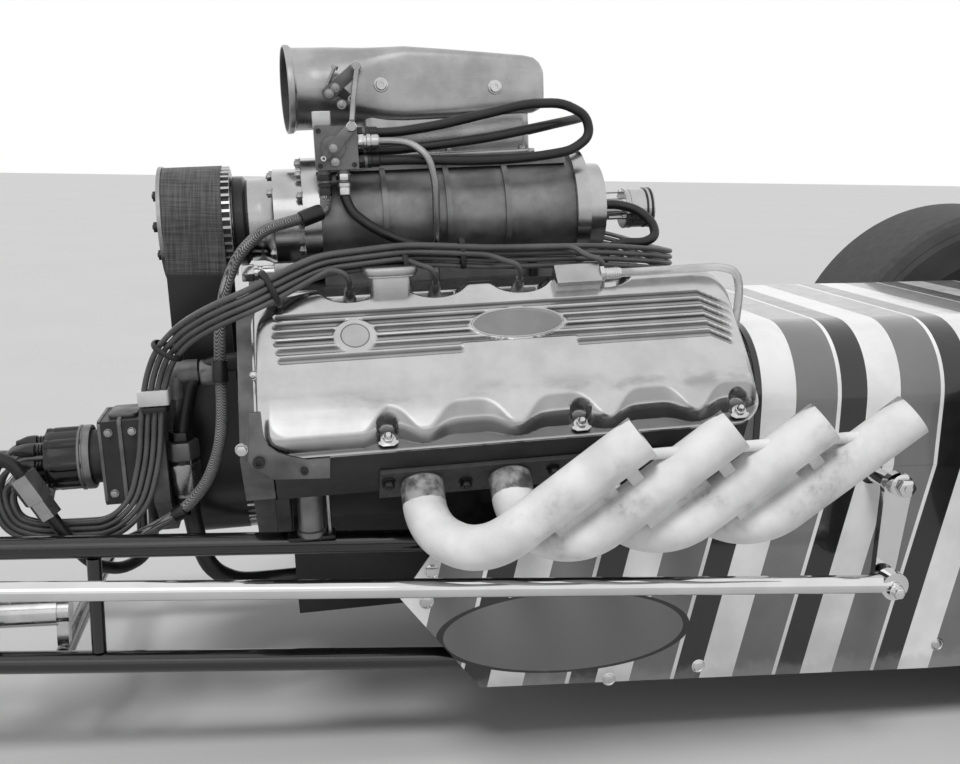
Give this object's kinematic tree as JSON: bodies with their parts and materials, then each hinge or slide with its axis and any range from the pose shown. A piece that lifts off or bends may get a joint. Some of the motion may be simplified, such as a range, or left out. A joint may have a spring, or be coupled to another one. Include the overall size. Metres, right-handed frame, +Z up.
{
  "type": "drag racing car",
  "caption": "Long front engine drag racer with a belt driven supercharger on a vee engine, tube frame, wire front wheels, wide rear slicks and a caged seat behind the rear axle.",
  "frame": {"origin": "on the ground, in the middle of the car's length and width", "axes": "+X to the tail, so the car drives towards -X; +Y to its right; +Z up"},
  "size_m": [5.89, 1.37, 1.0989],
  "materials": {
    "black_plastic": "black moulding",
    "black_rubber": "black rubber",
    "body_white": "gloss paint in light and mid grey bands",
    "chrome_plate": "bright chrome plate",
    "clear_tube": "clear plastic tube",
    "dark_casting": "dark painted casting",
    "frame_black": "gloss black paint",
    "header_white": "off-white heat paint, stained",
    "pack_canvas": "dark canvas",
    "plain_steel": "plain machined steel",
    "polished_metal": "polished aluminium",
    "satin_metal": "satin cast or sheet aluminium",
    "seat_shell": "black trimmed bucket",
    "tyre_rubber": "matte black tyre rubber"
  },
  "bodies": {
    "chassis": {"accessory_drive": "satin_metal", "barrel_valve": "polished_metal", "bellhousing_and_driveline": "satin_metal", "belly_pan": "satin_metal", "blower_belt": "black_rubber", "blower_case": "dark_casting", "blower_front_cover": "polished_metal", "blower_rear_cover": "polished_metal", "body_side_left": "body_white", "body_side_right": "body_white", "braided_hose": "plain_steel", "cam_cover_left": "polished_metal", "cam_cover_right": "polished_metal", "cowl": "body_white", "cross_tubes": "frame_black", "cylinder_head_left": "satin_metal", "cylinder_head_right": "satin_metal", "drive_pulleys": "polished_metal", "engine_block": "dark_casting", "engine_hoses": "black_rubber", "engine_plate_and_mounts": "satin_metal", "exhaust_headers_left": "header_white", "exhaust_headers_right": "header_white", "frame_rails_left": "frame_black", "frame_rails_right": "frame_black", "front_axle": "chrome_plate", "fuel_tank": "satin_metal", "hard_lines": "plain_steel", "ignition_wires": "black_rubber", "injector_hat": "polished_metal", "intake_manifold": "satin_metal", "magneto": "black_plastic", "oil_pan": "satin_metal", "parachute_pack": "pack_canvas", "pressure_cylinder": "polished_metal", "radius_rods": "chrome_plate", "rear_axle_housing": "dark_casting", "roll_cage": "frame_black", "seat": "seat_shell", "side_braces_left": "frame_black", "side_braces_right": "frame_black", "steering_gear": "plain_steel", "tail_fairing": "body_white", "timing_cover": "satin_metal", "vent_hose": "clear_tube"},
    "knuckle_left": {"knuckle_left": "chrome_plate"},
    "knuckle_right": {"knuckle_right": "chrome_plate"},
    "tie_rod": {"tie_rod": "chrome_plate"},
    "pitman_arm": {"pitman_arm": "chrome_plate"},
    "drag_link": {"drag_link": "chrome_plate"},
    "steering_wheel": {"steering_wheel": "black_plastic"},
    "front_wheel_left": {"front_wheel_left": "chrome_plate", "front_tyre_left": "tyre_rubber"},
    "front_wheel_right": {"front_wheel_right": "chrome_plate", "front_tyre_right": "tyre_rubber"},
    "rear_wheels": {"rear_axle_shaft": "plain_steel", "rear_wheel_left": "polished_metal", "rear_wheel_right": "polished_metal", "slick_left": "tyre_rubber", "slick_right": "tyre_rubber"}
  },
  "joints": [
    {"name": "steer_left", "type": "hinge", "parent": "chassis", "child": "knuckle_left", "pos_m": [-2.635, -0.47, 0.31], "axis": [0, 0, 1], "range_deg": [-15, 15]},
    {"name": "steer_right", "type": "hinge", "parent": "chassis", "child": "knuckle_right", "pos_m": [-2.635, 0.47, 0.31], "axis": [0, 0, 1], "range_deg": [-15.5, 15.5]},
    {"name": "tie_rod_pivot", "type": "hinge", "parent": "knuckle_left", "child": "tie_rod", "pos_m": [-2.745, -0.44, 0.234], "axis": [0, 0, 1], "range_deg": [-16.5, 16.5]},
    {"name": "pitman_turn", "type": "hinge", "parent": "chassis", "child": "pitman_arm", "pos_m": [1.361, -0.372, 0.432], "axis": [0, 1, 0], "range_deg": [-12.5, 12.5]},
    {"name": "drag_link_pivot", "type": "hinge", "parent": "pitman_arm", "child": "drag_link", "pos_m": [1.352, -0.398, 0.297], "axis": [0, 1, 0], "range_deg": [-12.5, 12.5]},
    {"name": "steering_wheel_turn", "type": "hinge", "parent": "chassis", "child": "steering_wheel", "pos_m": [2.105, 0, 0.655], "axis": [0.9659, 0, 0.2588], "range_deg": [-60, 60]},
    {"name": "front_left_spin", "type": "hinge", "parent": "knuckle_left", "child": "front_wheel_left", "pos_m": [-2.635, -0.56, 0.31], "axis": [0, 1, 0], "continuous": true},
    {"name": "front_right_spin", "type": "hinge", "parent": "knuckle_right", "child": "front_wheel_right", "pos_m": [-2.635, 0.56, 0.31], "axis": [0, 1, 0], "continuous": true},
    {"name": "rear_wheels_spin", "type": "hinge", "parent": "chassis", "child": "rear_wheels", "pos_m": [2.065, 0, 0.39], "axis": [0, 1, 0], "continuous": true}
  ],
  "couplings": [
    {"joint": "steer_right", "follows": "steer_left", "ratio": 1},
    {"joint": "tie_rod_pivot", "follows": "steer_left", "ratio": -1.067},
    {"joint": "pitman_turn", "follows": "steer_left", "ratio": 0.813},
    {"joint": "drag_link_pivot", "follows": "steer_left", "ratio": -0.813},
    {"joint": "steering_wheel_turn", "follows": "steer_left", "ratio": 4}
  ]
}
